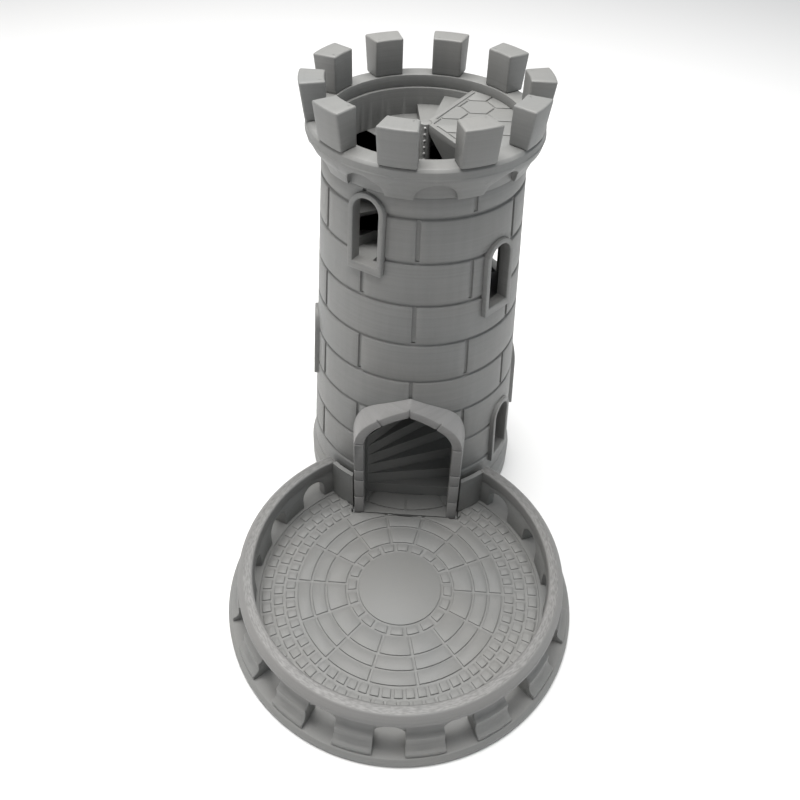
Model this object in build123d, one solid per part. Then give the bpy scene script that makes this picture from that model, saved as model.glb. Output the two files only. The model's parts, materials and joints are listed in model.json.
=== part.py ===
"""Round castle dice tower with a courtyard tray, as separate printed pieces.

Millimetres, +Z up. The origin is on the table under the tower axis. The doorway
and the tray face -Y. Angles round the tower run from the front (-Y) towards +X.
"""
import math
import os

from build123d import *

# ---------------------------------------------------------------- tower wall
tower_foot_radius = 40.6        # outer face of the wall at table level
wall_lean = 0.0516              # how much the face comes in per mm of height
wall_thickness = 3.0
course_height = 15.75           # one row of stones
first_course_line = 6.9         # height of the lowest mortar line
stones_per_course = 6
mortar_width = 1.3              # level joints
mortar_depth = 0.8
stone_edge_chamfer = 0.4        # on the top edge of every course
upright_joint_width = 1.3
upright_joint_depth = 0.7
shell_top = 148.2               # top of the stair, at the mouth of the tower
shell_ledge_drop = 1.2          # the wall ends this far under the landing

# ------------------------------------------------------------------- plinth
plinth_height = 12.0
plinth_swell = 0.7              # how far the plinth stands proud of the wall
plinth_shoulder = 8.0           # height where the swell starts to fall back
plinth_foot_chamfer = 0.8

# ------------------------------------------------------------ doorway, porch
floor_thickness = 3.0
door_half_width = 16.2
door_spring = 40.0              # height where the arch leaves the jambs
door_rise = 16.2
door_apex_slope = 20.0          # degrees, each side of the point
door_haunch = 50.0              # degrees, where the tight curve ends
porch_front = tower_foot_radius + 0.4   # distance of the porch face from the axis
porch_back = tower_foot_radius - 7.6    # how far the porch runs back towards the axis
porch_front_band = 3.5          # stone band round the opening, front face
porch_back_band = 4.5           # the same band where it dies into the wall
porch_crown_lift = 5.2          # extra rise of the hood where it meets the wall
porch_seat_clearance = 0.03     # between the porch and the face of the wall
porch_joint_heights = [11.7, 21.3, 27.0, 41.0]
porch_joint_width = 0.6
porch_joint_depth = 0.5
hood_joint_offset = 11.4        # joints between the hood stones, from the middle
hood_joint_height = 14.0        # above the springing
hood_joint_turn = 32.0
hood_joint_length = 12.0

# ------------------------------------------------------------------ windows
window_width = 9.2
window_height = 23.0            # sill to the top of the round head
window_frame_band = 1.8
window_frame_proud = 1.1
window_sill_drop = 1.0          # extra depth of the sill below the band
window_cut_depth = 12.0         # cutters start this far inside the wall face
# turn from the front and sill height of every window, going down the stair
window_places = [
    (-28.0, 113.8),
    (48.4, 96.0),
    (126.0, 81.7),
    (203.0, 66.1),
    (278.0, 51.0),
    (98.0, 31.0),
    (61.5, 21.5),
]

# -------------------------------------------------------------------- crown
crown_seat_height = 139.6       # lower lip of the corbel skirt
crown_seat_radius = 32.4        # spigot turned on the top of the shell
crown_seat_clearance = 0.05
crown_bore_radius = 31.0        # inside of the parapet walk
crown_lip_radius = 34.7
crown_lip_edge = 0.3            # small step out at the foot of the skirt
crown_lip_band = 0.9
crown_skirt_waist = (1.3, 3.4)  # hollow flare: out and up from the lip
crown_skirt_shoulder = (0.7, 2.6)
crown_skirt_radius = 38.3
crown_skirt_top = 148.0
crown_outer_radius = 38.0       # the plain band above the skirt
crown_skirt_ledge = 0.3         # rise of the small ledge on the skirt
crown_band_top = 150.3
crown_walk_radius = 37.0        # outer edge of the flat walk
crown_top = 151.2
crown_phase = 7.6               # turn of the first arch recess from the front
merlon_count = 10
arch_recess_half_width = 6.4
arch_recess_height = 6.9
arch_recess_floor_radius = 33.5
merlon_inner_radius = 31.5
merlon_outer_radius = 38.2      # at the foot
merlon_half_angle = 8.7         # at the foot
merlon_overhang = 1.5           # how far the head leans out past the foot
merlon_spread = 0.3             # degrees that each side widens to the head
merlon_height = 12.4
merlon_chamfer = 0.5

# -------------------------------------------------------------------- stair
newel_radius = 2.0
stair_gap = 0.1                 # between treads and the bore
landing_start = 34.5            # degrees, front edge of the top landing
stair_start = 151.0             # degrees, back edge of the landing
tread_angle = 18.0
tread_count = 27
stair_pitch = 72.6              # fall in one turn
tread_thickness = 7.0
landing_thickness = 3.0         # at the newel
landing_slope = 0.6             # growth of thickness towards the wall
landing_border = 1.8
landing_joint_inset = 4.0       # border joints stop this far from the newel
landing_joint_width = 0.6
landing_joint_depth = 0.5
flagstone_size = 10.0           # hexagon, flat to flat
flagstone_origin = (16.8, 13.4)
foot_pivot = (-15.6, -30.6)     # corner the lowest steps fan out from
foot_step_count = 9
foot_step_angle = 10.0

# ------------------------------------------------------- paving of the tower
threshold_inner_radius = 30.6
threshold_outer_radius = 38.6
threshold_stone_angle = 23.0
threshold_joint_overrun = 4.0   # the cross joints run a little past the stones
paving_joint_width = 1.0
paving_joint_depth = 0.5
paving_joint_overrun = 0.3      # radial joints run into the ring joints

# --------------------------------------------------------------------- tray
tray_foot_radius = 60.8
tray_bite = 27.7                # how far the tower stands into the round of the tray
tray_distance = tower_foot_radius + tray_foot_radius - tray_bite
tray_foot_chamfer = 1.0
tray_gap = 0.35                 # tray to tower, all round
arcade_inner_radius = 51.2
arcade_outer_radius = 54.6
arcade_top = 15.0
arcade_pitch = 22.5
arcade_openings_per_side = 6
opening_width = 10.0
opening_spring = arcade_top - opening_width / 2 - 2.0
buttress_root = 0.5             # how far a buttress reaches into the ring wall
buttress_half_angle = 6.2
buttress_count_per_side = 6
buttress_low_radius = 59.3
buttress_low_edge = 4.9
buttress_low_top = 7.4
buttress_high_radius = 57.0
buttress_high_edge = arcade_top - 4.9
buttress_high_top = arcade_top - 1.6
buttress_cove = [(0.12, 0.62), (0.38, 0.26), (0.68, 0.08)]  # share of the way out, share of the rise left
rim_inner_radius = 51.0
rim_outer_radius = 56.2
rim_flat_radius = 54.4
rim_top = arcade_top + 5.0
rim_edge_drop = 1.9
rim_side_height = 1.9
rim_inner_chamfer = 0.4
cheek_thickness = 1.6           # walls that hug the tower
tray_disc_radius = 14.8
small_stone_radii = (15.8, 18.6)
small_stone_joint_width = 1.5
small_stone_count = 20
paver_radii = [(19.6, 26.0), (27.0, 31.3), (32.3, 36.5)]
paver_count = 14
cobble_radii = [(37.7, 40.7), (41.9, 44.9), (46.1, 49.1)]
cobble_count = 64
cobble_joint_width = 1.15

# ------------------------------------------------------------ derived sizes
bore_foot_radius = tower_foot_radius - wall_thickness
lean_degrees = math.degrees(math.atan(wall_lean))
tray_centre = Pos(0, -tray_distance, 0)
shell_ledge = shell_top - shell_ledge_drop
merlon_pitch = 360.0 / merlon_count
tread_rise = stair_pitch * tread_angle / 360.0
foot_top = shell_top - tread_count * tread_rise
foot_rise = (foot_top - floor_thickness) / foot_step_count
porch_half_width = door_half_width + porch_front_band
reach = 200.0                   # long enough to pass through anything here

os.makedirs("parts", exist_ok=True)
pieces = {}


def face_radius(height):
    """Outer face of the tower wall at a height."""
    return tower_foot_radius - wall_lean * height


def bore_radius(height):
    """Inner face of the tower wall at a height."""
    return bore_foot_radius - wall_lean * height


def spin(points):
    """Solid of revolution from (radius, height) points."""
    outline = make_face(Polyline(*[(r, 0, z) for r, z in points], close=True))
    return revolve(outline, axis=Axis.Z)


def ring_cut(inner, outer, low, high):
    """Plain ring between two radii and two heights."""
    return spin([(inner, low), (outer, low), (outer, high), (inner, high)])


def sector(inner, outer, start, stop, low, high):
    """Slice of a ring between two turns, measured from the front."""
    turn = stop - start
    points = [(inner, low), (outer, low), (outer, high), (inner, high)]
    outline = make_face(Polyline(*[(0, -r, z) for r, z in points], close=True))
    slice_ = revolve(outline, axis=Axis.Z, revolution_arc=turn)
    return Rot(0, 0, start) * slice_


def profile_sector(points, start, stop):
    """Turned profile between two angles, measured from the front."""
    outline = make_face(Polyline(*[(0, -r, z) for r, z in points], close=True))
    return Rot(0, 0, start) * revolve(outline, axis=Axis.Z, revolution_arc=stop - start)


def block(x, y, z, sx, sy, sz):
    """Box given by its lowest corner and its sizes."""
    return Pos(x + sx / 2, y + sy / 2, z + sz / 2) * Box(sx, sy, sz)


def arch_points(half_width, spring, rise):
    """Corner, haunch and apex of a pointed arch with a tight haunch curve."""
    haunch = math.radians(door_haunch)
    crown = math.radians(90.0 - door_apex_slope)
    ch, sh = math.cos(haunch), math.sin(haunch)
    cc, sc = math.cos(crown), math.sin(crown)
    # half_width - (1 - ch) * small = (ch - cc) * large
    # sh * small + (sc - sh) * large = rise
    small = (rise * (ch - cc) - half_width * (sc - sh)) / (
        sh * (ch - cc) - (1 - ch) * (sc - sh)
    )
    large = (half_width - (1 - ch) * small) / (ch - cc)
    cx = half_width - small
    lx = cx + small * ch - large * ch
    lz = spring + small * sh - large * sh
    mid1 = (cx + small * math.cos(haunch / 2), spring + small * math.sin(haunch / 2))
    knee = (cx + small * ch, spring + small * sh)
    middle = (haunch + crown) / 2
    mid2 = (lx + large * math.cos(middle), lz + large * math.sin(middle))
    return mid1, knee, mid2, (0.0, spring + rise)


def arch_face(half_width, spring, rise, distance):
    """Face of a pointed doorway standing in a plane facing the front."""
    mid1, knee, mid2, apex = arch_points(half_width, spring, rise)

    def at(point, side=1):
        return (side * point[0], -distance, point[1])

    edges = [
        Line((-half_width, -distance, 0), (half_width, -distance, 0)),
        Line((half_width, -distance, 0), (half_width, -distance, spring)),
        ThreePointArc((half_width, -distance, spring), at(mid1), at(knee)),
        ThreePointArc(at(knee), at(mid2), at(apex)),
        ThreePointArc(at(apex), at(mid2, -1), at(knee, -1)),
        ThreePointArc(at(knee, -1), at(mid1, -1), (-half_width, -distance, spring)),
        Line((-half_width, -distance, spring), (-half_width, -distance, 0)),
    ]
    return make_face(edges)


def round_head(half_width, low, high, near, far):
    """Round-headed block facing the front, between two distances."""
    spring = high - half_width
    body = block(-half_width, -far, low, 2 * half_width, far - near, spring - low)
    head = Pos(0, -(near + far) / 2, spring) * Rot(90, 0, 0) * Cylinder(half_width, far - near)
    return body + head


# ------------------------------------------------------------- shared cutters
door_opening = extrude(
    arch_face(door_half_width, door_spring, door_rise, reach), amount=reach - 20.0, dir=(0, 1, 0)
)
porch_seat = spin([
    (0, -1), (face_radius(-1) + porch_seat_clearance, -1),
    (face_radius(shell_top) + porch_seat_clearance, shell_top), (0, shell_top),
])
bore_fill = spin([
    (0, floor_thickness), (bore_radius(floor_thickness) - stair_gap, floor_thickness),
    (bore_radius(shell_top) - stair_gap, shell_top), (0, shell_top),
])

# porch: the outer block with its hood, before the opening is cut
porch_front_face = arch_face(
    porch_half_width, door_spring, door_rise + porch_front_band, porch_front
)
porch_back_face = arch_face(
    door_half_width + porch_back_band, door_spring,
    door_rise + porch_back_band + porch_crown_lift, porch_back,
)
porch_block = loft([porch_front_face, porch_back_face], ruled=True) - porch_seat


# ---------------------------------------------------------------- tower shell
# Tapering wall with mortar lines turned in its face and upright joints cut in
# every course, staggered by half a stone from one course to the next.
def wall_profile():
    points = [(bore_radius(plinth_height), plinth_height), (face_radius(plinth_height), plinth_height)]
    line = first_course_line + course_height
    while line < crown_seat_height - mortar_width:
        low = line - mortar_width / 2
        high = line + mortar_width / 2
        points += [
            (face_radius(low - stone_edge_chamfer), low - stone_edge_chamfer),
            (face_radius(low) - stone_edge_chamfer, low),
            (face_radius(line) - mortar_depth, low),
            (face_radius(line) - mortar_depth, high),
            (face_radius(high), high),
        ]
        line += course_height
    points += [
        (face_radius(crown_seat_height), crown_seat_height),
        (crown_seat_radius, crown_seat_height),
        (crown_seat_radius, shell_ledge),
        (bore_radius(shell_ledge), shell_ledge),
    ]
    return points


def upright_joints():
    cuts = []
    course = 0
    low = first_course_line
    while low < crown_seat_height:
        high = low + course_height
        bottom = max(low, plinth_height)
        top = min(high, crown_seat_height)
        offset = 0.0 if course % 2 else 180.0 / stones_per_course
        middle = (bottom + top) / 2
        joint = Box(upright_joint_width, 2 * upright_joint_depth, top - bottom)
        for stone in range(stones_per_course):
            turn = offset + stone * 360.0 / stones_per_course
            cuts.append(on_wall(turn, middle, joint))
        low = high
        course += 1
    return cuts


def window_outer():
    """Outline of a frame with its sill, standing on the wall face, sill at z = 0."""
    band = window_frame_band
    return round_head(
        window_width / 2 + band, -band - window_sill_drop, window_height + band,
        -window_cut_depth, window_frame_proud,
    )


def window_inner():
    """The clear opening, long enough to pass through the wall."""
    return round_head(window_width / 2, 0.0, window_height, -2 * window_cut_depth, window_cut_depth)


def on_wall(turn, height, shape):
    """Move a shape made on the plane y = 0 to the leaning wall face."""
    return Rot(0, 0, turn) * Pos(0, -face_radius(height), height) * Rot(-lean_degrees, 0, 0) * shape


shell = spin(wall_profile())
shell_cuts = upright_joints()
shell_cuts += [on_wall(turn, sill, window_outer()) for turn, sill in window_places]
shell_cuts.append(door_opening)
pieces["tower_shell"] = shell - shell_cuts

# --------------------------------------------------------------- tower plinth
# Foot ring of the tower, a little wider than the wall, cut away at the doorway.
plinth_radius = tower_foot_radius + plinth_swell
plinth = spin([
    (bore_radius(0), 0),
    (plinth_radius - plinth_foot_chamfer, 0),
    (plinth_radius, plinth_foot_chamfer),
    (plinth_radius, plinth_shoulder),
    (face_radius(plinth_height), plinth_height),
    (bore_radius(plinth_height), plinth_height),
])
pieces["tower_plinth"] = plinth - [porch_block, door_opening]

# ------------------------------------------------------------------ door arch
# Projecting stone surround: two legs of small blocks and a pointed hood.
def porch_joints():
    cuts = []
    y = -porch_front - porch_joint_depth
    for height in porch_joint_heights:
        for side in (-1, 1):
            x = side * (door_half_width + porch_front_band / 2) - porch_front_band
            cuts.append(block(
                x, y, height - porch_joint_width / 2,
                2 * porch_front_band, 2 * porch_joint_depth, porch_joint_width,
            ))
    apex = door_spring + door_rise - porch_joint_width
    cuts.append(block(
        -porch_joint_width / 2, y, apex, porch_joint_width, 2 * porch_joint_depth, hood_joint_length
    ))
    for side in (-1, 1):
        slot = Box(porch_joint_width, 2 * porch_joint_depth, hood_joint_length)
        place = Pos(side * hood_joint_offset, -porch_front, door_spring + hood_joint_height)
        cuts.append(place * Rot(0, side * hood_joint_turn, 0) * slot)
    return cuts


pieces["door_arch"] = porch_block - [door_opening] - porch_joints()

# -------------------------------------------------------------- window frames
# Flat-faced round-headed liners with a sill, set through the wall.
bore_clear = spin([
    (0, 0), (bore_radius(0), 0), (bore_radius(shell_top), shell_top), (0, shell_top),
])
for number, (turn, sill) in enumerate(window_places, start=1):
    frame = on_wall(turn, sill, window_outer() - window_inner())
    pieces[f"window_frame_{number}"] = frame - bore_clear

# --------------------------------------------------------------- crown corbel
# Skirt with an arcade of shallow arches, a plain band and the parapet walk.
crown_inner = crown_seat_radius + crown_seat_clearance
crown = spin([
    (crown_inner, crown_seat_height),
    (crown_lip_radius, crown_seat_height),
    (crown_lip_radius + crown_lip_edge, crown_seat_height + crown_lip_band),
    (crown_lip_radius + crown_skirt_waist[0], crown_seat_height + crown_skirt_waist[1]),
    (crown_skirt_radius - crown_skirt_shoulder[0], crown_skirt_top - crown_skirt_shoulder[1]),
    (crown_skirt_radius, crown_skirt_top),
    (crown_outer_radius, crown_skirt_top + crown_skirt_ledge),
    (crown_outer_radius, crown_band_top),
    (crown_walk_radius, crown_top),
    (crown_bore_radius, crown_top),
    (crown_bore_radius, shell_ledge),
    (crown_inner, shell_ledge),
])
recess = round_head(
    arch_recess_half_width, crown_seat_height - 1.0, crown_seat_height + arch_recess_height,
    0.0, 2 * crown_outer_radius,
) - ring_cut(0, arch_recess_floor_radius, crown_seat_height - 2.0, crown_top)
crown_cuts = [
    Rot(0, 0, crown_phase + index * merlon_pitch) * recess for index in range(merlon_count)
]
pieces["crown_corbel"] = crown - crown_cuts

# -------------------------------------------------------------------- merlons
# Ten battlement blocks between the arches, widening a little to the head.
def merlon_outline(outer, half_angle, height):
    """Plan of a block: straight sides and curved inner and outer faces."""
    def corner(radius, turn):
        return (radius * math.sin(math.radians(turn)), -radius * math.cos(math.radians(turn)), height)

    return make_face([
        Line(corner(merlon_inner_radius, -half_angle), corner(outer, -half_angle)),
        ThreePointArc(corner(outer, -half_angle), corner(outer, 0.0), corner(outer, half_angle)),
        Line(corner(outer, half_angle), corner(merlon_inner_radius, half_angle)),
        ThreePointArc(
            corner(merlon_inner_radius, half_angle), corner(merlon_inner_radius, 0.0),
            corner(merlon_inner_radius, -half_angle),
        ),
    ])


merlon = loft([
    merlon_outline(merlon_outer_radius, merlon_half_angle, crown_top),
    merlon_outline(
        merlon_outer_radius + merlon_overhang, merlon_half_angle + merlon_spread,
        crown_top + merlon_height,
    ),
], ruled=True)
merlon = chamfer(merlon.edges().group_by(Axis.Z)[-1], merlon_chamfer)
for index in range(merlon_count):
    turn = crown_phase + (index + 0.5) * merlon_pitch
    pieces[f"merlon_{index + 1}"] = Rot(0, 0, turn) * merlon

# ---------------------------------------------------------------- newel post
# Slim central column from the floor to the landing.
pieces["newel_post"] = Pos(0, 0, (floor_thickness + shell_top) / 2) * Cylinder(
    newel_radius, shell_top - floor_thickness
)
newel_hole = Pos(0, 0, shell_top / 2) * Cylinder(newel_radius, 2 * shell_top)

# ----------------------------------------------------------------- stair foot
# Fan of steps that pivots on the left jamb and turns the dice out of the door.
foot = None
for step in range(foot_step_count):
    height = floor_thickness + (step + 1) * foot_rise
    slab = bore_fill & block(-reach, -reach, floor_thickness, 2 * reach, 2 * reach, height - floor_thickness)
    half = Pos(foot_pivot[0], foot_pivot[1], 0) * Rot(0, 0, step * foot_step_angle) * block(
        -reach, 0, 0, 2 * reach, reach, reach
    )
    slab = slab & half
    foot = slab if foot is None else foot + slab
foot = foot - newel_hole
pieces["stair_foot"] = foot

# --------------------------------------------------------------- stair flight
# Treads wound round the newel, going down anticlockwise from the landing.
flight = None
for tread in range(tread_count):
    top = shell_top - (tread + 1) * tread_rise
    start = stair_start + tread * tread_angle
    wedge = sector(
        newel_radius, bore_radius(top) - stair_gap, start, start + tread_angle, top - tread_thickness, top
    )
    flight = wedge if flight is None else flight + wedge
pieces["stair_flight"] = flight - [pieces["stair_foot"]]

# ---------------------------------------------------------------- top landing
# Paved sector at the mouth, thicker towards the wall so that it prints alone.
landing_radius = bore_radius(shell_top) - stair_gap
landing_lap_radius = crown_bore_radius - stair_gap
landing = profile_sector([
    (newel_radius, shell_top), (newel_radius, shell_top - landing_thickness),
    (landing_radius, shell_top - landing_thickness - landing_slope * (landing_radius - newel_radius)),
    (landing_radius, shell_ledge + stair_gap),
    (landing_lap_radius, shell_ledge + stair_gap),
    (landing_lap_radius, shell_top),
], landing_start, stair_start)


def flagstone_joints():
    cuts = []
    side = flagstone_size / math.sqrt(3)
    column_pitch = 1.5 * side
    for column in range(-3, 4):
        for row in range(-4, 5):
            x = flagstone_origin[0] + column * column_pitch
            y = flagstone_origin[1] + (row + 0.5 * (column % 2)) * flagstone_size
            if math.hypot(x, y) > landing_radius + side:
                continue
            for turn in (0, 60, 120):
                strip = Pos(0, flagstone_size / 2, 0) * Box(
                    side + landing_joint_width, landing_joint_width, 2 * landing_joint_depth
                )
                cuts.append(Pos(x, y, shell_top) * Rot(0, 0, turn) * strip)
    return cuts


border_cuts = []
for turn, side in ((landing_start, 1), (stair_start, -1)):
    strip = block(
        side * landing_border - landing_joint_width / 2, -landing_radius, shell_top - landing_joint_depth,
        landing_joint_width, landing_radius - landing_joint_inset, 2 * landing_joint_depth,
    )
    border_cuts.append(Rot(0, 0, turn) * strip)
clear_strips = []
for turn in (landing_start, stair_start):
    strip = block(
        -landing_border, -landing_radius - 1.0, shell_top - landing_thickness,
        2 * landing_border, landing_radius, 2 * landing_thickness,
    )
    clear_strips.append(Rot(0, 0, turn) * strip)
kept = []
for cut in flagstone_joints():
    kept += (cut - clear_strips).solids()
pieces["top_landing"] = landing - kept - border_cuts

# ---------------------------------------------------------------- tower floor
# Slab inside the plinth with a paved threshold running out under the arch.
floor = spin([
    (0, 0), (bore_radius(0) - stair_gap, 0),
    (bore_radius(floor_thickness) - stair_gap, floor_thickness), (0, floor_thickness),
])
tongue = block(
    -door_half_width, -porch_front, 0, 2 * door_half_width, porch_front, floor_thickness
)
joint_low = floor_thickness - paving_joint_depth
floor_cuts = [
    sector(
        radius, radius + paving_joint_width, -threshold_stone_angle - threshold_joint_overrun,
        threshold_stone_angle + threshold_joint_overrun, joint_low, floor_thickness + 1,
    )
    for radius in (threshold_inner_radius, threshold_outer_radius)
]
for turn in (-threshold_stone_angle, 0.0, threshold_stone_angle):
    joint = block(
        -paving_joint_width / 2, -threshold_outer_radius - paving_joint_width, joint_low,
        paving_joint_width, threshold_outer_radius - threshold_inner_radius + paving_joint_width, 2.0,
    )
    floor_cuts.append(Rot(0, 0, turn) * joint)
pieces["tower_floor"] = floor + tongue - floor_cuts

# ----------------------------------------------------------------- tray shape
# Everything of the tray stops short of the tower and of its porch.
tower_clear_radius = plinth_radius + tray_gap
porch_flare = (porch_back_band - porch_front_band) / (porch_front - porch_back)
porch_side_run = porch_front - math.sqrt(tower_clear_radius ** 2 - (porch_half_width + 1.0) ** 2)
porch_clear = porch_half_width + porch_flare * porch_side_run + tray_gap
tower_clear = Pos(0, 0, 30) * Cylinder(tower_clear_radius, 100)
porch_clear_block = block(
    -porch_clear, -porch_front - tray_gap, -10, 2 * porch_clear, porch_front, 100
)
keep_clear = [tower_clear, porch_clear_block]

# ------------------------------------------------------------------ tray base
# Round foot plate; the paving is cut in its top face.
plate = tray_centre * spin([
    (0, 0), (tray_foot_radius, 0), (tray_foot_radius, floor_thickness - tray_foot_chamfer),
    (tray_foot_radius - tray_foot_chamfer, floor_thickness), (0, floor_thickness),
])


def radial_slots(inner, outer, count, phase, width):
    length = outer - inner + 2 * paving_joint_overrun
    slot = block(-width / 2, -outer - paving_joint_overrun, joint_low, width, length, 2.0)
    return [Rot(0, 0, phase + index * 360.0 / count) * slot for index in range(count)]


paving_edges = [(tray_disc_radius, small_stone_radii[0]), (small_stone_radii[1], paver_radii[0][0])]
paving_edges += [(paver_radii[i][1], paver_radii[i + 1][0]) for i in range(len(paver_radii) - 1)]
paving_edges.append((paver_radii[-1][1], cobble_radii[0][0]))
paving_edges += [(cobble_radii[i][1], cobble_radii[i + 1][0]) for i in range(len(cobble_radii) - 1)]
paving_edges.append((cobble_radii[-1][1], cobble_radii[-1][1] + paving_joint_width))
paving = [ring_cut(inner, outer, joint_low, floor_thickness + 1) for inner, outer in paving_edges]
paving += radial_slots(*small_stone_radii, small_stone_count, 9.0, small_stone_joint_width)
for inner, outer in paver_radii:
    paving += radial_slots(inner, outer, paver_count, 180.0 / paver_count + 180.0, paving_joint_width)
for row, (inner, outer) in enumerate(cobble_radii):
    phase = (row % 2) * 180.0 / cobble_count
    paving += radial_slots(inner, outer, cobble_count, phase, cobble_joint_width)
plate = plate - [tray_centre * cut for cut in paving]
pieces["tray_base"] = plate - keep_clear

# ---------------------------------------------------------------- tray arcade
# Ring wall with arched drains and a two-step buttress on every pier.
arcade = ring_cut(arcade_inner_radius, arcade_outer_radius, floor_thickness, arcade_top)


def cove(outer, edge, inner, top):
    """Hollow weathering from the edge of a step up to the face behind it."""
    hollow = [(inner + out * (outer - inner), edge + left * (top - edge)) for out, left in buttress_cove]
    return [(outer, edge), *reversed(hollow), (inner, top)]


buttress_profile = [
    (arcade_outer_radius - buttress_root, floor_thickness),
    (buttress_low_radius, floor_thickness),
    *cove(buttress_low_radius, buttress_low_edge, buttress_high_radius, buttress_low_top),
    *cove(buttress_high_radius, buttress_high_edge, arcade_outer_radius, buttress_high_top),
    (arcade_outer_radius - buttress_root, buttress_high_top),
]
for index in range(buttress_count_per_side):
    middle = (index + 0.5) * arcade_pitch
    for side in (-1, 1):
        arcade = arcade + profile_sector(
            buttress_profile, side * middle - buttress_half_angle, side * middle + buttress_half_angle
        )
opening = round_head(
    opening_width / 2, floor_thickness - 1.0, opening_spring + opening_width / 2,
    arcade_inner_radius - 5.0, tray_foot_radius,
)
opening_turns = [0.0]
for index in range(1, arcade_openings_per_side + 1):
    opening_turns += [index * arcade_pitch, -index * arcade_pitch]
arcade = arcade - [Rot(0, 0, turn) * opening for turn in opening_turns]
pieces["tray_arcade"] = tray_centre * arcade - keep_clear

# ------------------------------------------------------------------- tray rim
# Coping ring, sloped off on the outside.
rim = spin([
    (rim_inner_radius, arcade_top),
    (arcade_outer_radius, arcade_top),
    (rim_outer_radius, rim_top - rim_edge_drop - rim_side_height),
    (rim_outer_radius, rim_top - rim_edge_drop),
    (rim_flat_radius, rim_top),
    (rim_inner_radius + rim_inner_chamfer, rim_top),
    (rim_inner_radius, rim_top - rim_inner_chamfer),
])
pieces["tray_rim"] = tray_centre * rim - keep_clear

# ---------------------------------------------------------------- tray cheeks
# Short walls that follow the tower from the rim to the sides of the porch.
cheek_ring = ring_cut(
    tower_clear_radius, tower_clear_radius + cheek_thickness, floor_thickness, rim_top
)
inside_tray = tray_centre * Pos(0, 0, 15) * Cylinder(rim_inner_radius, 60)
beside_porch = block(-porch_clear, -reach, -10, 2 * porch_clear, 2 * reach, 100)
cheeks = (cheek_ring & inside_tray) - beside_porch
left_half = block(-reach, -reach, -reach, reach, 2 * reach, 2 * reach)
pieces["tray_cheek_left"] = cheeks & left_half
pieces["tray_cheek_right"] = cheeks - left_half

for name, shape in pieces.items():
    solids = shape.solids()
    if len(solids) != 1:
        print(name, "has", len(solids), "solids", [round(s.volume, 2) for s in solids])
    export_step(shape, f"parts/{name}.step")
    print(name, round(shape.volume, 1))
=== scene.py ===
import json
import math

import bpy
from mathutils import Matrix, Vector

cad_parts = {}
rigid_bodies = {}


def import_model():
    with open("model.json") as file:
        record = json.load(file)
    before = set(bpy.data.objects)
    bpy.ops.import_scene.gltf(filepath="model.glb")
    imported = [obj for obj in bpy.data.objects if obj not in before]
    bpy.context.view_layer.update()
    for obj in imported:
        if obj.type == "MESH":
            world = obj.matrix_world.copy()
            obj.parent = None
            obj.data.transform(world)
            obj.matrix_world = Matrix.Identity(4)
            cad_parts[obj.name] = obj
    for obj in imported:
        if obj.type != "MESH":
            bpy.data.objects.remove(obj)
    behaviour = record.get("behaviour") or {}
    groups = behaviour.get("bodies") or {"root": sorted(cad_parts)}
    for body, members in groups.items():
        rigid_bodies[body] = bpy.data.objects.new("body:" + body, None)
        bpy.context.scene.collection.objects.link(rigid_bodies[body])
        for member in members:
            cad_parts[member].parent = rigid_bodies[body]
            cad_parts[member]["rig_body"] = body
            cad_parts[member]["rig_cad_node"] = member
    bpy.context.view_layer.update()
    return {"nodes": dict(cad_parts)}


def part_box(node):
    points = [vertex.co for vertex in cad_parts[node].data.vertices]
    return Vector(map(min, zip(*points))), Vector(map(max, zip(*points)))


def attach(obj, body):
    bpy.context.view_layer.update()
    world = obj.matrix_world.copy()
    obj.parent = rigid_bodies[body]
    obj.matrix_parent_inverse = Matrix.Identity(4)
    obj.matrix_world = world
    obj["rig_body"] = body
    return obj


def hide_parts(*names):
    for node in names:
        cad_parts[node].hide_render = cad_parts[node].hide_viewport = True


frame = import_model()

nodes = frame["nodes"]
bpy.ops.object.select_all(action="DESELECT")

# ------------------------------------------------------------------ tower wall
# The round wall of the tower: courses of plain stones with raked joints, leaning in
# towards the top. Grey PLA laid down by a filament printer in level layers, with
# faint upright bands where the nozzle speeds up and slows down.
layer_height = 0.00024
wall_grey = (0.205, 0.200, 0.190)
wall_cool = (0.180, 0.186, 0.186)


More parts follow.
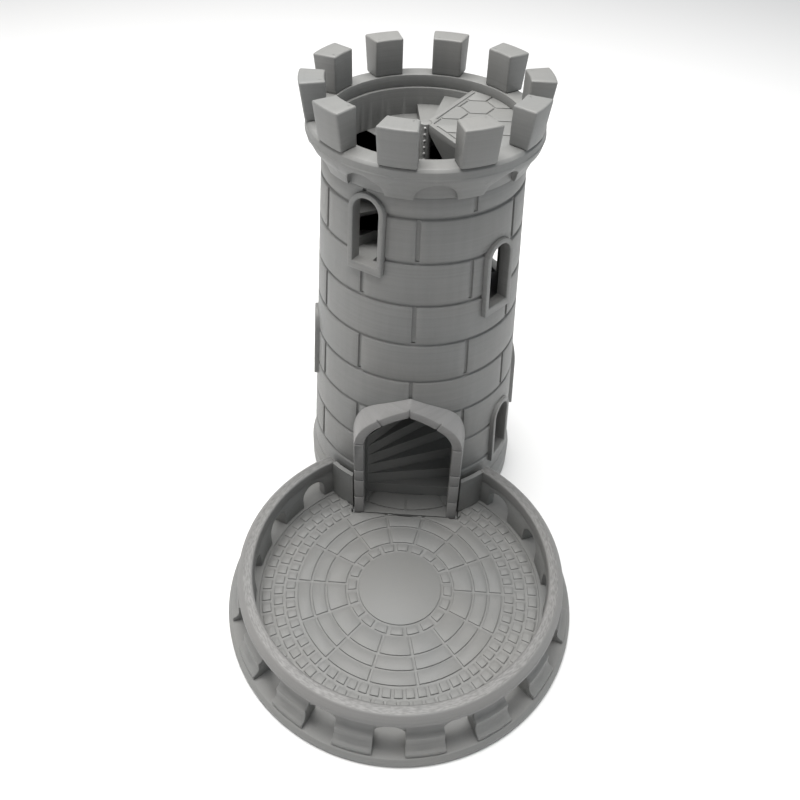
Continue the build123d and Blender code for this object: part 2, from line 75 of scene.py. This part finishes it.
def grey_print(name, warm=wall_grey, cool=wall_cool, gloss=0.46, layer_bump=0.35, bands=0.0, raster=0.25):
    """Printed grey plastic: level layer lines, layer to layer tone, and a raster on flat tops."""
    material = bpy.data.materials.new(name)
    material.use_nodes = True
    tree = material.node_tree
    shader = tree.nodes["Principled BSDF"]
    shader.inputs["Specular IOR Level"].default_value = 0.45
    shader.inputs["Coat Weight"].default_value = 0.0

    def node(kind, **settings):
        made = tree.nodes.new(kind)
        for key, value in settings.items():
            setattr(made, key, value)
        return made

    def maths(operation, a, b=None):
        made = node("ShaderNodeMath", operation=operation)
        for socket, value in zip(made.inputs, (a, b)):
            if value is None:
                continue
            if isinstance(value, (int, float)):
                socket.default_value = value
            else:
                tree.links.new(value, socket)
        return made.outputs[0]

    def noise(scale_vector, scale, detail):
        stretch = node("ShaderNodeMapping")
        stretch.inputs["Scale"].default_value = scale_vector
        tree.links.new(place.outputs["Object"], stretch.inputs["Vector"])
        made = node("ShaderNodeTexNoise")
        made.inputs["Scale"].default_value = scale
        made.inputs["Detail"].default_value = detail
        tree.links.new(stretch.outputs[0], made.inputs["Vector"])
        return made.outputs["Fac"]

    place = node("ShaderNodeTexCoord")
    split = node("ShaderNodeSeparateXYZ")
    tree.links.new(place.outputs["Object"], split.inputs[0])
    x, y, z = split.outputs

    clouds = noise((1, 1, 1), 38.0, 3.0)
    layers = noise((0.01, 0.01, 1.0), 1500.0, 2.0)
    grain = noise((1, 1, 1), 2600.0, 2.0)

    # tone: soft clouds from warm to cool, with thin lighter and darker layers
    blend = node("ShaderNodeMix", data_type="RGBA")
    blend.inputs["A"].default_value = (*warm, 1.0)
    blend.inputs["B"].default_value = (*cool, 1.0)
    tree.links.new(clouds, blend.inputs["Factor"])
    tone = maths("ADD", maths("MULTIPLY", layers, 0.22), maths("MULTIPLY", grain, 0.10))
    tone = maths("ADD", tone, 0.84)
    if bands:
        turn = maths("ARCTAN2", x, y)
        around = node("ShaderNodeCombineXYZ")
        tree.links.new(turn, around.inputs[0])
        tree.links.new(maths("MULTIPLY", z, 1.6), around.inputs[1])
        upright = node("ShaderNodeTexNoise")
        upright.inputs["Scale"].default_value = 16.0
        upright.inputs["Detail"].default_value = 4.0
        tree.links.new(around.outputs[0], upright.inputs["Vector"])
        tone = maths("ADD", tone, maths("MULTIPLY", maths("SUBTRACT", upright.outputs["Fac"], 0.5), bands))
    shade = node("ShaderNodeMix", data_type="RGBA", blend_type="MULTIPLY")
    shade.inputs["Factor"].default_value = 1.0
    tree.links.new(blend.outputs["Result"], shade.inputs["A"])
    tree.links.new(tone, shade.inputs["B"])
    tree.links.new(shade.outputs["Result"], shader.inputs["Base Color"])

    # gloss: a satin skin, duller where the layers are rough
    rough = maths("ADD", maths("MULTIPLY", layers, 0.16), gloss - 0.04)
    tree.links.new(rough, shader.inputs["Roughness"])

    # relief: rounded layers on the walls, raster lines of the last layer on flat tops
    ridges = maths("SINE", maths("MULTIPLY", z, 2 * math.pi / layer_height))
    relief = maths("ADD", maths("MULTIPLY", ridges, 0.25), layers)
    normal = node("ShaderNodeNewGeometry")
    facing = node("ShaderNodeSeparateXYZ")
    tree.links.new(normal.outputs["Normal"], facing.inputs[0])
    flat_top = maths("GREATER_THAN", facing.outputs[2], 0.96)
    raster_turn = maths("MULTIPLY", maths("ADD", x, y), 2 * math.pi / 0.0006)
    lines = maths("MULTIPLY", maths("SINE", raster_turn), raster)
    lines = maths("ADD", lines, maths("MULTIPLY", grain, 0.8))
    mixed = node("ShaderNodeMix", data_type="FLOAT")
    tree.links.new(flat_top, mixed.inputs["Factor"])
    tree.links.new(relief, mixed.inputs["A"])
    tree.links.new(lines, mixed.inputs["B"])
    bump = node("ShaderNodeBump")
    bump.inputs["Strength"].default_value = layer_bump
    bump.inputs["Distance"].default_value = 0.00008
    tree.links.new(mixed.outputs["Result"], bump.inputs["Height"])
    tree.links.new(bump.outputs["Normal"], shader.inputs["Normal"])
    return material


def finish_with(material, *names):
    """The piece keeps its exact shape and takes this finish."""
    for name in names:
        mesh = nodes[name].data
        mesh.materials.clear()
        mesh.materials.append(material)


def only(piece):
    bpy.ops.object.select_all(action="DESELECT")
    piece.select_set(True)
    bpy.context.view_layer.objects.active = piece


def belongs(piece, body, *replaced):
    """The finished piece moves with its body and stands for the plain ones."""
    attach(piece, body)
    if replaced:
        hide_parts(*replaced)


def softened(name, body, material, edge, sharp=40.0):
    """A printed piece with its mesh closed up and its outside corners slightly rounded."""
    piece = nodes[name].copy()
    piece.data = nodes[name].data.copy()
    piece.name = name + "_print"
    piece.parent = None
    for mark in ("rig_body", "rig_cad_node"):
        del piece[mark]
    bpy.context.scene.collection.objects.link(piece)
    only(piece)
    bpy.ops.object.mode_set(mode="EDIT")
    bpy.ops.mesh.select_all(action="SELECT")
    bpy.ops.mesh.remove_doubles(threshold=0.000002)
    bpy.ops.mesh.dissolve_limited(angle_limit=math.radians(0.3))
    bpy.ops.object.mode_set(mode="OBJECT")
    rounding = piece.modifiers.new("rounding", "BEVEL")
    rounding.width = edge
    rounding.segments = 2
    rounding.limit_method = "ANGLE"
    rounding.angle_limit = math.radians(sharp)
    rounding.use_clamp_overlap = False
    bpy.ops.object.modifier_apply(modifier="rounding")
    bpy.ops.object.shade_smooth_by_angle(angle=math.radians(30.0))
    piece.data.materials.clear()
    piece.data.materials.append(material)
    belongs(piece, body, name)
    return piece


wall_print = grey_print("wall_print", bands=0.16)
softened("tower_shell", "tower", wall_print, 0.00025)
finish_with(wall_print, "tower_plinth")

# ---------------------------------------------------------------- door surround
# Small stone blocks up the jambs and a hooded pointed arch, printed with the wall.
arch_print = grey_print("arch_print", (0.250, 0.241, 0.235), (0.230, 0.231, 0.230), layer_bump=0.25)
softened("door_arch", "tower", arch_print, 0.00022)

# --------------------------------------------------------------- window frames
# Plain round-headed liners with a small sill, standing a little proud of the wall.
frame_print = grey_print("frame_print", gloss=0.42)
for number in range(1, 8):
    softened(f"window_frame_{number}", "tower", frame_print, 0.00035)

# ---------------------------------------------------------------------- crown
# Corbelled parapet ring with its row of shallow arches, printed in one with the wall
# and slightly streaked like it.
crown_print = grey_print("crown_print", bands=0.12)
softened("crown_corbel", "tower", crown_print, 0.0002)

# ------------------------------------------------------------------ battlements
# Ten solid blocks on the parapet, wider at the head than at the foot. The corners of
# a print this small come out rounded, and the last layer leaves a faint patch on top.
block_inner = 0.0315
block_foot = 0.0382
block_head = 0.0397
block_turn = math.radians(17.8)
block_phase = math.radians(7.6)
block_rounding = 0.0006
patch_edge = 0.0021
patch_depth = 0.00006
top_margin = 0.00001
block_pitch = math.radians(36.0)
block_low, block_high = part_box("merlon_1")

bpy.ops.mesh.primitive_plane_add(size=1.0, location=(0.0, 0.0, 0.0))
battlement = bpy.context.object
outline = (
    (block_inner, block_low.z), (block_foot, block_low.z),
    (block_inner, block_high.z), (block_head, block_high.z),
)
for corner, (radius, height) in zip(battlement.data.vertices, outline):
    corner.co = (0.0, -radius, height)
battlement.data.transform(Matrix.Rotation(block_turn / 2, 4, "Z"))
only(battlement)
bpy.ops.object.mode_set(mode="EDIT")
bpy.ops.mesh.select_all(action="SELECT")
bpy.ops.mesh.spin(steps=6, angle=block_turn, center=(0.0, 0.0, 0.0), axis=(0.0, 0.0, 1.0))
bpy.ops.mesh.select_all(action="SELECT")
bpy.ops.mesh.remove_doubles(threshold=0.000001)
bpy.ops.mesh.normals_make_consistent(inside=False)
bpy.ops.object.mode_set(mode="OBJECT")


def pick_faces(piece, test):
    """Selects the faces of a piece whose middle passes a test, and stays in edit mode."""
    only(piece)
    bpy.ops.object.mode_set(mode="EDIT")
    bpy.ops.mesh.select_mode(type="FACE")
    bpy.ops.mesh.select_all(action="DESELECT")
    bpy.ops.object.mode_set(mode="OBJECT")
    for face in piece.data.polygons:
        corners = [piece.data.vertices[index].co for index in face.vertices]
        face.select = test(sum(corners, Vector()) / len(corners))
    bpy.ops.object.mode_set(mode="EDIT")


pick_faces(battlement, lambda middle: middle.z > block_high.z - top_margin)
bpy.ops.mesh.dissolve_faces()
bpy.ops.mesh.inset(thickness=patch_edge, depth=0.0, use_even_offset=True)
bpy.ops.transform.translate(value=(0.0, 0.0, -patch_depth))
bpy.ops.object.mode_set(mode="OBJECT")
rounding = battlement.modifiers.new("rounding", "BEVEL")
rounding.width = block_rounding
rounding.segments = 3
rounding.limit_method = "ANGLE"
rounding.angle_limit = math.radians(50.0)
rounding.use_clamp_overlap = False
bpy.ops.object.modifier_apply(modifier="rounding")
bpy.ops.object.shade_smooth_by_angle(angle=math.radians(35.0))
battlement.data.materials.append(crown_print)
for number in range(1, 11):
    block = battlement.copy()
    block.data = battlement.data.copy()
    block.name = f"battlement_{number}"
    bpy.context.scene.collection.objects.link(block)
    turn = block_phase + (number - 0.5) * block_pitch
    block.data.transform(Matrix.Rotation(turn, 4, "Z"))
    belongs(block, "tower", f"merlon_{number}")
bpy.data.objects.remove(battlement)

# ----------------------------------------------------------------------- stair
# Newel, wound treads, the paved landing and the fan of steps behind the door.
stair_print = grey_print("stair_print")
finish_with(stair_print, "stair_flight", "stair_foot", "tower_floor")
softened("newel_post", "tower", stair_print, 0.0003)
softened("top_landing", "tower", stair_print, 0.0002)

# ------------------------------------------------------------------------ tray
# Loose round courtyard: foot plate with its paving, arcaded ring wall and coping.
tray_print = grey_print("tray_print", layer_bump=0.45)
finish_with(tray_print, "tray_cheek_left", "tray_cheek_right")
softened("tray_base", "tray", tray_print, 0.00018)
softened("tray_arcade", "tray", tray_print, 0.00025)

# ------------------------------------------------------------------ coping ring
# The ring that closes the tray wall. Its flat top is the last layer of the print, laid
# in circles round the tray, each circle breaking off and starting again now and then.
coping_print = grey_print(
    "coping_print", (0.190, 0.184, 0.178), (0.172, 0.174, 0.172), layer_bump=0.3, raster=0.0
)
tree = coping_print.node_tree
shader = tree.nodes["Principled BSDF"]
tray_low, tray_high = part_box("tray_base")
tray_middle = (0.0, tray_low.y + tray_high.x, 0.0)
circle_width = 0.00045
breaks_per_radian = 26.0
flat_enough = 0.96


def coping_node(kind, inputs, **settings):
    """A shader node of the coping, with links or plain values on its named sockets."""
    made = tree.nodes.new(kind)
    for key, value in settings.items():
        setattr(made, key, value)
    for socket, value in inputs.items():
        if isinstance(value, bpy.types.NodeSocket):
            tree.links.new(value, made.inputs[socket])
        else:
            made.inputs[socket].default_value = value
    return made


place = coping_node("ShaderNodeTexCoord", {}).outputs["Object"]
centred = coping_node("ShaderNodeVectorMath", {0: place, 1: tray_middle}, operation="SUBTRACT").outputs[0]
level = coping_node("ShaderNodeVectorMath", {0: centred, 1: (1.0, 1.0, 0.0)}, operation="MULTIPLY").outputs[0]
distance = coping_node("ShaderNodeVectorMath", {0: level}, operation="LENGTH").outputs["Value"]
parts = coping_node("ShaderNodeSeparateXYZ", {0: centred}).outputs
turn = coping_node("ShaderNodeMath", {0: parts[0], 1: parts[1]}, operation="ARCTAN2").outputs[0]
rings = coping_node("ShaderNodeMath", {0: distance, 1: 1.0 / circle_width}, operation="MULTIPLY").outputs[0]
around = coping_node("ShaderNodeMath", {0: turn, 1: breaks_per_radian}, operation="MULTIPLY").outputs[0]
spread = coping_node("ShaderNodeCombineXYZ", {0: rings, 1: around}).outputs[0]
dashes = coping_node("ShaderNodeTexNoise", {"Vector": spread, "Scale": 1.0, "Detail": 1.0}).outputs["Fac"]
facing = coping_node("ShaderNodeNewGeometry", {}).outputs["Normal"]
upward = coping_node("ShaderNodeSeparateXYZ", {0: facing}).outputs[2]
on_top = coping_node("ShaderNodeMath", {0: upward, 1: flat_enough}, operation="GREATER_THAN").outputs[0]
mottle = coping_node("ShaderNodeMapRange", {
    "Value": dashes, "From Min": 0.35, "From Max": 0.65, "To Min": 0.78, "To Max": 1.16,
}).outputs["Result"]
plain = shader.inputs["Base Color"].links[0].from_socket
patch = coping_node(
    "ShaderNodeMix", {"Factor": on_top, "A": plain, "B": mottle}, data_type="RGBA", blend_type="MULTIPLY"
).outputs["Result"]
tree.links.new(patch, shader.inputs["Base Color"])
softened("tray_rim", "tray", coping_print, 0.0004)

# ------------------------------------------------------------------ painted highlight
# Small pale beads in a column down the front of the thin newel post: a painted
# highlight that stands for the glint of light down the round post.
bead_size = 0.00045
bead_pitch = 0.0022
bead_top = 0.0012
bead_count = 7
post_low, post_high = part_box("newel_post")
# pale colour of the beads: painted highlight, much paler than the grey plastic of the post
painted_highlight_finish = grey_print("painted_highlight_finish", (0.52, 0.52, 0.50), (0.48, 0.48, 0.48), layer_bump=0.1)
bpy.ops.mesh.primitive_uv_sphere_add(segments=10, ring_count=6, radius=bead_size, location=(0.0, 0.0, 0.0))
bead = bpy.context.object
# these beads carry a painted highlight, not a mark left by the print
bead.name = "painted_highlight_beads"
only(bead)
bpy.ops.object.mode_set(mode="EDIT")
bpy.ops.mesh.select_all(action="SELECT")
bpy.ops.transform.translate(value=(0.0, post_low.y, post_high.z - bead_top))
bpy.ops.object.mode_set(mode="OBJECT")
column = bead.modifiers.new("column", "ARRAY")
column.count = bead_count
column.use_relative_offset = False
column.use_constant_offset = True
column.constant_offset_displace = (0.0, 0.0, -bead_pitch)
bpy.ops.object.modifier_apply(modifier="column")
bpy.ops.object.shade_smooth_by_angle(angle=math.radians(60.0))
bead.data.materials.append(painted_highlight_finish)
belongs(bead, "tower")

# ------------------------------------------------------- table, light and camera
# A plain pale table, a large soft light overhead with a warm one low on the left and
# a cooler one on the right, and a camera looking down into the tray.
table_top = bpy.data.materials.new("table_top")
table_top.use_nodes = True
table_top.node_tree.nodes["Principled BSDF"].inputs["Base Color"].default_value = (0.86, 0.86, 0.86, 1.0)
table_top.node_tree.nodes["Principled BSDF"].inputs["Roughness"].default_value = 0.7
bpy.ops.mesh.primitive_plane_add(size=6.0, location=(0.0, 0.0, -0.0001))
table = bpy.context.object
table.name = "table"
table.data.materials.append(table_top)

world = bpy.data.worlds.new("studio")
bpy.context.scene.world = world
world.use_nodes = True
world.node_tree.nodes["Background"].inputs["Color"].default_value = (0.95, 0.97, 1.0, 1.0)
world.node_tree.nodes["Background"].inputs["Strength"].default_value = 0.33


def soft_light(name, place, target, size, power, colour):
    """A square lamp at a place, turned to face its target."""
    bpy.ops.object.light_add(type="AREA", location=place)
    light = bpy.context.object
    light.name = name
    light.data.shape = "SQUARE"
    light.data.size = size
    light.data.energy = power
    light.data.color = colour
    light.rotation_euler = (Vector(target) - Vector(place)).to_track_quat("-Z", "Y").to_euler()


middle = (0.0, -0.04, 0.06)
soft_light("overhead", (-0.08, 0.04, 0.8), middle, 0.6, 10.5, (1.0, 0.99, 0.97))
soft_light("left_fill", (-1.0, -0.2, 0.5), middle, 0.6, 2.9, (1.0, 0.98, 0.95))
soft_light("right_fill", (1.0, -0.1, 0.4), middle, 0.6, 1.6, (0.88, 0.96, 1.0))

azimuth = math.radians(2.25)
elevation = math.radians(39.27)
roll = math.radians(1.91)
back = Vector((
    math.sin(azimuth) * math.cos(elevation), -math.cos(azimuth) * math.cos(elevation), math.sin(elevation)
))
level = Vector((math.cos(azimuth), math.sin(azimuth), 0.0))
upward = back.cross(level)
right = math.cos(roll) * level + math.sin(roll) * upward
up = math.cos(roll) * upward - math.sin(roll) * level
camera_data = bpy.data.cameras.new("camera")
camera = bpy.data.objects.new("camera", camera_data)
bpy.context.scene.collection.objects.link(camera)
camera_data.sensor_width = 36.0
camera_data.lens = 36.55
camera_data.shift_y = -0.0867
camera_data.clip_start = 0.01
camera.matrix_world = Matrix((
    (right.x, up.x, back.x, 0.0036),
    (right.y, up.y, back.y, -0.2419),
    (right.z, up.z, back.z, 0.2600),
    (0.0, 0.0, 0.0, 1.0),
))
bpy.context.scene.camera = camera
bpy.context.scene.view_settings.view_transform = "Standard"
